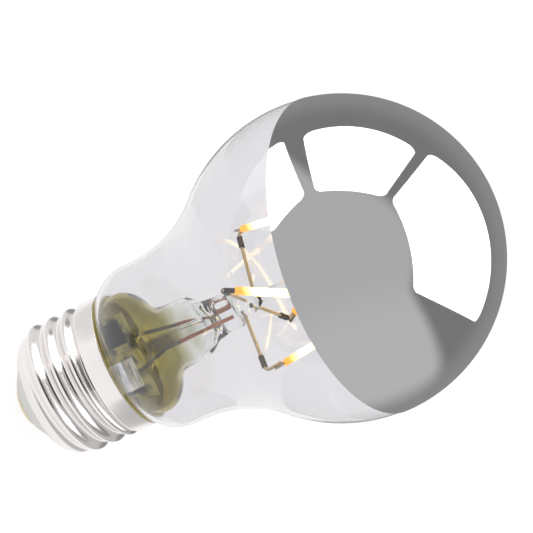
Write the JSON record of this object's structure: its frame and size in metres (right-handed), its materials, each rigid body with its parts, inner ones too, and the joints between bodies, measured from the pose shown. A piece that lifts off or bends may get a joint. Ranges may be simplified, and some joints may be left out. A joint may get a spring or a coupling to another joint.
{
  "type": "led filament light bulb",
  "caption": "Clear glass LED filament light bulb with a silvered half, a glass stem carrying a twisted cage of lit strips, and a nickel-plated screw cap.",
  "frame": {"origin": "tip of the centre contact at the foot of the cap", "axes": "+Z along the bulb's axis from the contact to the silvered pole, -Y the side seen in the picture, +X to its right"},
  "size_m": [0.0602, 0.0602, 0.0981],
  "materials": {
    "nickel": "satin",
    "white_moulding": "satin",
    "contact_brass": "satin",
    "solder": "satin",
    "cement": "matte",
    "clear_glass": "gloss",
    "silver_coat": "mirror",
    "stem_glass": "gloss",
    "copper_wire": "satin",
    "arm_wire": "satin",
    "sleeve": "satin",
    "phosphor": "satin",
    "tab_metal": "satin",
    "board": "satin",
    "black_package": "matte",
    "ferrite": "matte",
    "capacitor_sleeve": "gloss",
    "resistor_coat": "satin",
    "driver_wire": "satin"
  },
  "bodies": {
    "root": {"screw_shell": "nickel", "cap_insulator": "white_moulding", "centre_contact": "contact_brass", "contact_solder": "solder", "cement_ring": "cement", "glass_bulb": "clear_glass", "mirror_coating": "silver_coat", "stem_flare": "stem_glass", "exhaust_tube": "stem_glass", "glass_post": "stem_glass", "lead_wire_1": "copper_wire", "lead_wire_2": "copper_wire", "seal_wire_1": "copper_wire", "seal_wire_2": "copper_wire", "support_arm_1": "arm_wire", "support_arm_2": "arm_wire", "support_arm_3": "arm_wire", "support_arm_4": "arm_wire", "upper_wire_1": "arm_wire", "upper_wire_2": "arm_wire", "upper_wire_3": "arm_wire", "upper_wire_4": "arm_wire", "arm_sleeve_1": "sleeve", "arm_sleeve_2": "sleeve", "arm_sleeve_3": "sleeve", "arm_sleeve_4": "sleeve", "filament_1": "phosphor", "filament_2": "phosphor", "filament_3": "phosphor", "filament_4": "phosphor", "lower_tab_1": "tab_metal", "lower_tab_2": "tab_metal", "lower_tab_3": "tab_metal", "lower_tab_4": "tab_metal", "upper_tab_1": "tab_metal", "upper_tab_2": "tab_metal", "upper_tab_3": "tab_metal", "upper_tab_4": "tab_metal", "driver_board": "board", "bridge_rectifier": "black_package", "driver_chip": "black_package", "choke": "ferrite", "smoothing_capacitor": "capacitor_sleeve", "fusible_resistor": "resistor_coat", "live_wire": "driver_wire", "neutral_wire": "driver_wire"}
  },
  "joints": []
}
